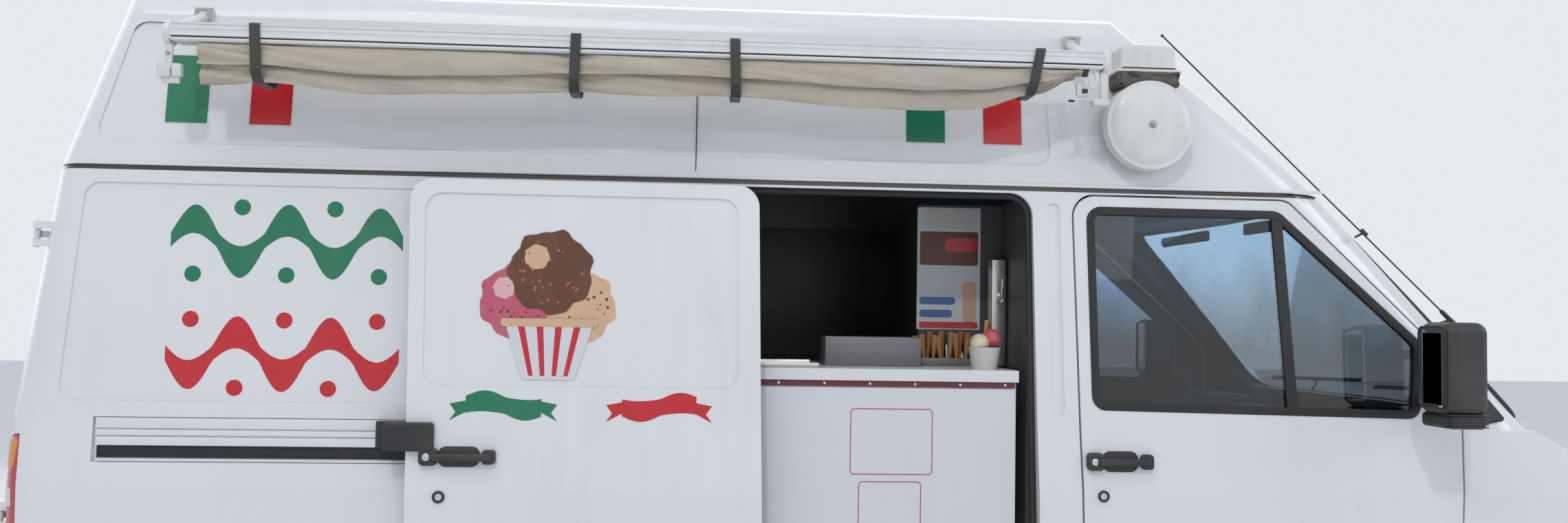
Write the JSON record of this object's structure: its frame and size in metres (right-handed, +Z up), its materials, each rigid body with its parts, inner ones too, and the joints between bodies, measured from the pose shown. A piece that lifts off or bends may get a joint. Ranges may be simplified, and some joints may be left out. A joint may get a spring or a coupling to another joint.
{
  "type": "ice cream van",
  "caption": "High-roof ice cream van with an open sliding side door, serving counter, side awning, bell, hinged doors and bonnet, steered front wheels and rolling tyres.",
  "frame": {"origin": "on the ground below the middle of the bounding box", "axes": "+X points forward, +Y to the vehicle's left, +Z up"},
  "size_m": [5.368, 2.37, 2.5399],
  "materials": {
    "body_paint": "gloss",
    "black_plastic": "satin",
    "chassis_black": "matte",
    "lamp_glass": "gloss",
    "lamp_red": "gloss",
    "window_glass": "gloss",
    "tyre_rubber": "matte",
    "rim_paint": "satin",
    "cast_parts": "matte",
    "exhaust_steel": "matte",
    "dash_plastic": "matte",
    "seat_cloth": "matte",
    "inner_panel": "satin",
    "counter_white": "satin",
    "rail_aluminium": "satin",
    "awning_fabric": "matte",
    "bell_paint": "satin"
  },
  "bodies": {
    "van_body": {"floor_pan": "body_paint", "wheel_liners": "black_plastic", "chassis_rails": "chassis_black", "side_panel_left": "body_paint", "side_panel_right": "body_paint", "cab_frame": "body_paint", "high_roof": "body_paint", "fenders": "body_paint", "front_panel": "body_paint", "front_bumper": "black_plastic", "headlamps": "lamp_glass", "windscreen": "window_glass", "sliding_door": "body_paint", "slide_carriage": "black_plastic", "rear_bumper": "black_plastic", "tail_lamps": "lamp_red", "front_suspension": "chassis_black", "rear_axle": "chassis_black", "engine": "cast_parts", "exhaust": "exhaust_steel", "fuel_tank": "chassis_black", "dashboard": "dash_plastic", "seats": "seat_cloth", "bulkhead": "inner_panel", "serving_counter": "counter_white", "freezer": "counter_white", "awning_rail": "rail_aluminium", "awning_cloth": "awning_fabric", "bell": "bell_paint"},
    "front_door_left": {"front_door_left": "body_paint", "door_glass_left": "window_glass", "mirror_left": "black_plastic"},
    "front_door_right": {"front_door_right": "body_paint", "door_glass_right": "window_glass", "mirror_right": "black_plastic"},
    "bonnet": {"bonnet": "body_paint"},
    "rear_door_left": {"rear_door_left": "body_paint"},
    "rear_door_right": {"rear_door_right": "body_paint"},
    "knuckle_left": {"knuckle_left": "cast_parts"},
    "knuckle_right": {"knuckle_right": "cast_parts"},
    "steering_wheel": {"steering_wheel": "dash_plastic"},
    "wheel_front_left": {"tyre_front_left": "tyre_rubber", "rim_front_left": "rim_paint"},
    "wheel_front_right": {"tyre_front_right": "tyre_rubber", "rim_front_right": "rim_paint"},
    "wheel_rear_left": {"tyre_rear_left": "tyre_rubber", "rim_rear_left": "rim_paint"},
    "wheel_rear_right": {"tyre_rear_right": "tyre_rubber", "rim_rear_right": "rim_paint"}
  },
  "joints": [
    {"name": "front_door_left_hinge", "type": "hinge", "parent": "van_body", "child": "front_door_left", "pos_m": [1.43, 0.948, 0.8], "axis": [0, 0, -1], "range_deg": [0, 68]},
    {"name": "front_door_right_hinge", "type": "hinge", "parent": "van_body", "child": "front_door_right", "pos_m": [1.43, -0.948, 0.8], "axis": [0, 0, 1], "range_deg": [0, 68]},
    {"name": "bonnet_hinge", "type": "hinge", "parent": "van_body", "child": "bonnet", "pos_m": [1.738, 0, 1.233], "axis": [0, -1, 0], "range_deg": [0, 60]},
    {"name": "rear_door_left_hinge", "type": "hinge", "parent": "van_body", "child": "rear_door_left", "pos_m": [-2.676, 0.896, 0.9], "axis": [-0.0827, 0, -0.9966], "range_deg": [0, 180]},
    {"name": "rear_door_right_hinge", "type": "hinge", "parent": "van_body", "child": "rear_door_right", "pos_m": [-2.676, -0.896, 0.9], "axis": [0.0827, 0, 0.9966], "range_deg": [0, 180]},
    {"name": "steer_left", "type": "hinge", "parent": "van_body", "child": "knuckle_left", "pos_m": [1.873, 0.7503, 0.34], "axis": [0, -0.1925, 0.9813], "range_deg": [-35, 35]},
    {"name": "steer_right", "type": "hinge", "parent": "van_body", "child": "knuckle_right", "pos_m": [1.873, -0.7503, 0.34], "axis": [0, 0.1925, 0.9813], "range_deg": [-35, 35]},
    {"name": "steering_wheel_turn", "type": "hinge", "parent": "van_body", "child": "steering_wheel", "pos_m": [1.02, 0.4, 1.16], "axis": [-0.848, 0, 0.5299], "range_deg": [-540, 540]},
    {"name": "wheel_front_left_spin", "type": "hinge", "parent": "knuckle_left", "child": "wheel_front_left", "pos_m": [1.873, 0.845, 0.34], "axis": [0, 1, 0], "continuous": true},
    {"name": "wheel_front_right_spin", "type": "hinge", "parent": "knuckle_right", "child": "wheel_front_right", "pos_m": [1.873, -0.845, 0.34], "axis": [0, 1, 0], "continuous": true},
    {"name": "wheel_rear_left_spin", "type": "hinge", "parent": "van_body", "child": "wheel_rear_left", "pos_m": [-1.697, 0.845, 0.34], "axis": [0, 1, 0], "continuous": true},
    {"name": "wheel_rear_right_spin", "type": "hinge", "parent": "van_body", "child": "wheel_rear_right", "pos_m": [-1.697, -0.845, 0.34], "axis": [0, 1, 0], "continuous": true}
  ],
  "couplings": [
    {"joint": "steer_right", "follows": "steer_left", "ratio": 1},
    {"joint": "steering_wheel_turn", "follows": "steer_left", "ratio": 15.4}
  ]
}
